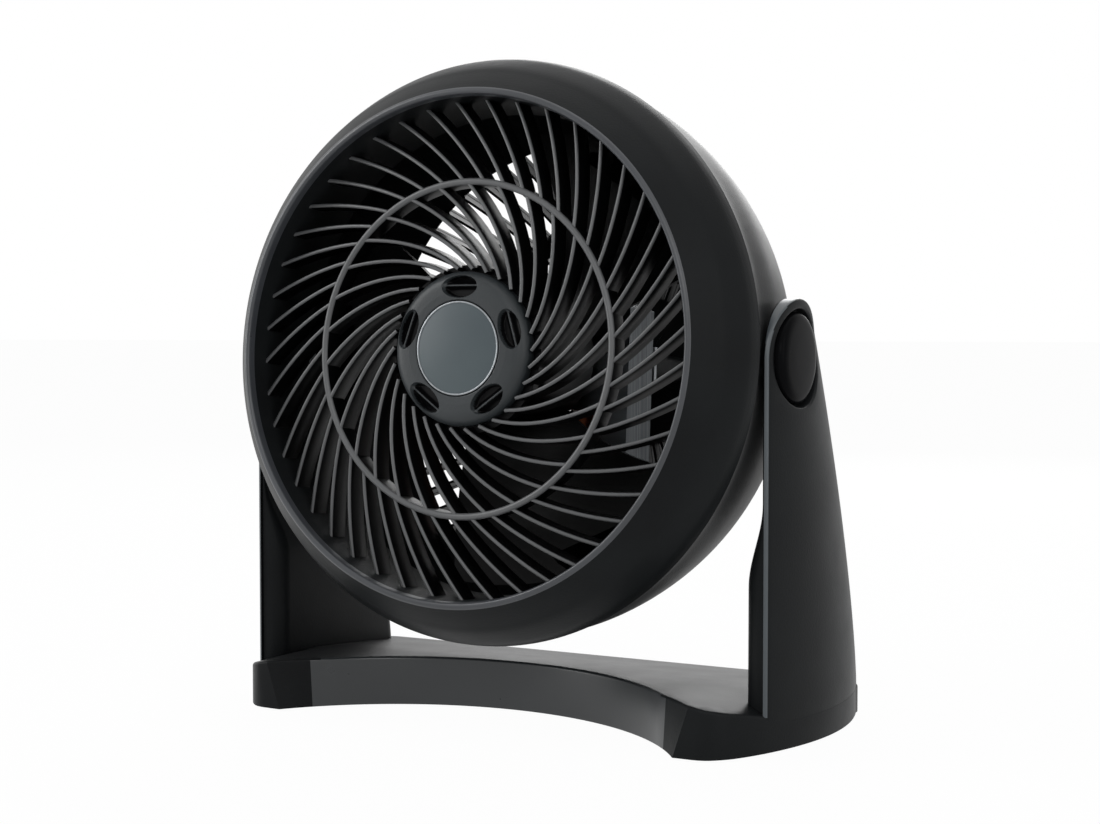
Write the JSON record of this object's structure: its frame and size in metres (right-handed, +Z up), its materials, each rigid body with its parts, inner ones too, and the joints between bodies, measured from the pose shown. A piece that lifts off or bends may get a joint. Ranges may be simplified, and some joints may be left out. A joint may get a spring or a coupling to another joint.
{
  "type": "air circulator fan",
  "caption": "Round table fan whose deep drum-shaped head tilts between the two arms of a flat-footed stand, with a spiral front grille and a speed knob at the back.",
  "frame": {"origin": "centre of the overall box in X and Y, on the plane of the rubber soles that it stands on", "axes": "+X to the viewer's right when facing the grille, +Y towards the back with the speed knob, +Z up"},
  "size_m": [0.227, 0.1648, 0.2361],
  "materials": {
    "grained_charcoal": "fine-grained satin ABS",
    "gloss_charcoal": "polished ABS",
    "hub_plastic": "satin ABS",
    "impeller_plastic": "semi-gloss polypropylene",
    "rubber_black": "soft moulded rubber",
    "steel": "turned steel",
    "zinc": "zinc-plated steel",
    "laminated_steel": "stacked electrical steel",
    "sintered_bronze": "oil-filled sintered bronze",
    "copper_winding": "enamelled copper wire",
    "connector_nylon": "red nylon",
    "switch_plastic": "moulded phenolic"
  },
  "bodies": {
    "stand": {"stand_shell": "grained_charcoal", "arm_cover_left": "grained_charcoal", "arm_cover_right": "grained_charcoal", "base_plate": "grained_charcoal", "foot_front_left": "rubber_black", "foot_front_right": "rubber_black", "foot_rear_left": "rubber_black", "foot_rear_right": "rubber_black", "base_screw_front_left": "zinc", "base_screw_front_right": "zinc", "base_screw_rear_left": "zinc", "base_screw_rear_right": "zinc", "pivot_cap_left": "gloss_charcoal", "tilt_washer_left": "steel", "pivot_cap_right": "gloss_charcoal", "tilt_washer_right": "steel"},
    "head": {"front_shell": "grained_charcoal", "hub_cap": "hub_plastic", "badge_disc": "hub_plastic", "rear_housing": "grained_charcoal", "head_screw_1": "zinc", "head_screw_2": "zinc", "head_screw_3": "zinc", "head_screw_4": "zinc", "tilt_screw_left": "steel", "tilt_screw_right": "steel", "cord_inlet": "rubber_black", "stator": "laminated_steel", "coil": "copper_winding", "motor_bracket_front": "zinc", "motor_bracket_rear": "zinc", "bearing_front": "sintered_bronze", "bearing_rear": "sintered_bronze", "motor_screw_left": "zinc", "motor_screw_right": "zinc", "switch_body": "switch_plastic", "wire_connector": "connector_nylon"},
    "rotor": {"impeller": "impeller_plastic", "motor_shaft": "steel", "rotor_core": "laminated_steel", "impeller_nut": "zinc"},
    "knob": {"speed_knob": "gloss_charcoal"}
  },
  "joints": [
    {"name": "head_tilt", "type": "hinge", "parent": "stand", "child": "head", "pos_m": [0, -0.02821, 0.1312], "axis": [-1, 0, 0], "range_deg": [-4.2, 85.7]},
    {"name": "fan_spin", "type": "hinge", "parent": "head", "child": "rotor", "pos_m": [0, -0.02821, 0.1312], "axis": [0, 0.9972, -0.0743], "continuous": true},
    {"name": "speed_knob_turn", "type": "hinge", "parent": "head", "child": "knob", "pos_m": [0, 0.07152, 0.12377], "axis": [0, 0.9972, -0.0743], "range_deg": [0, 135]}
  ]
}
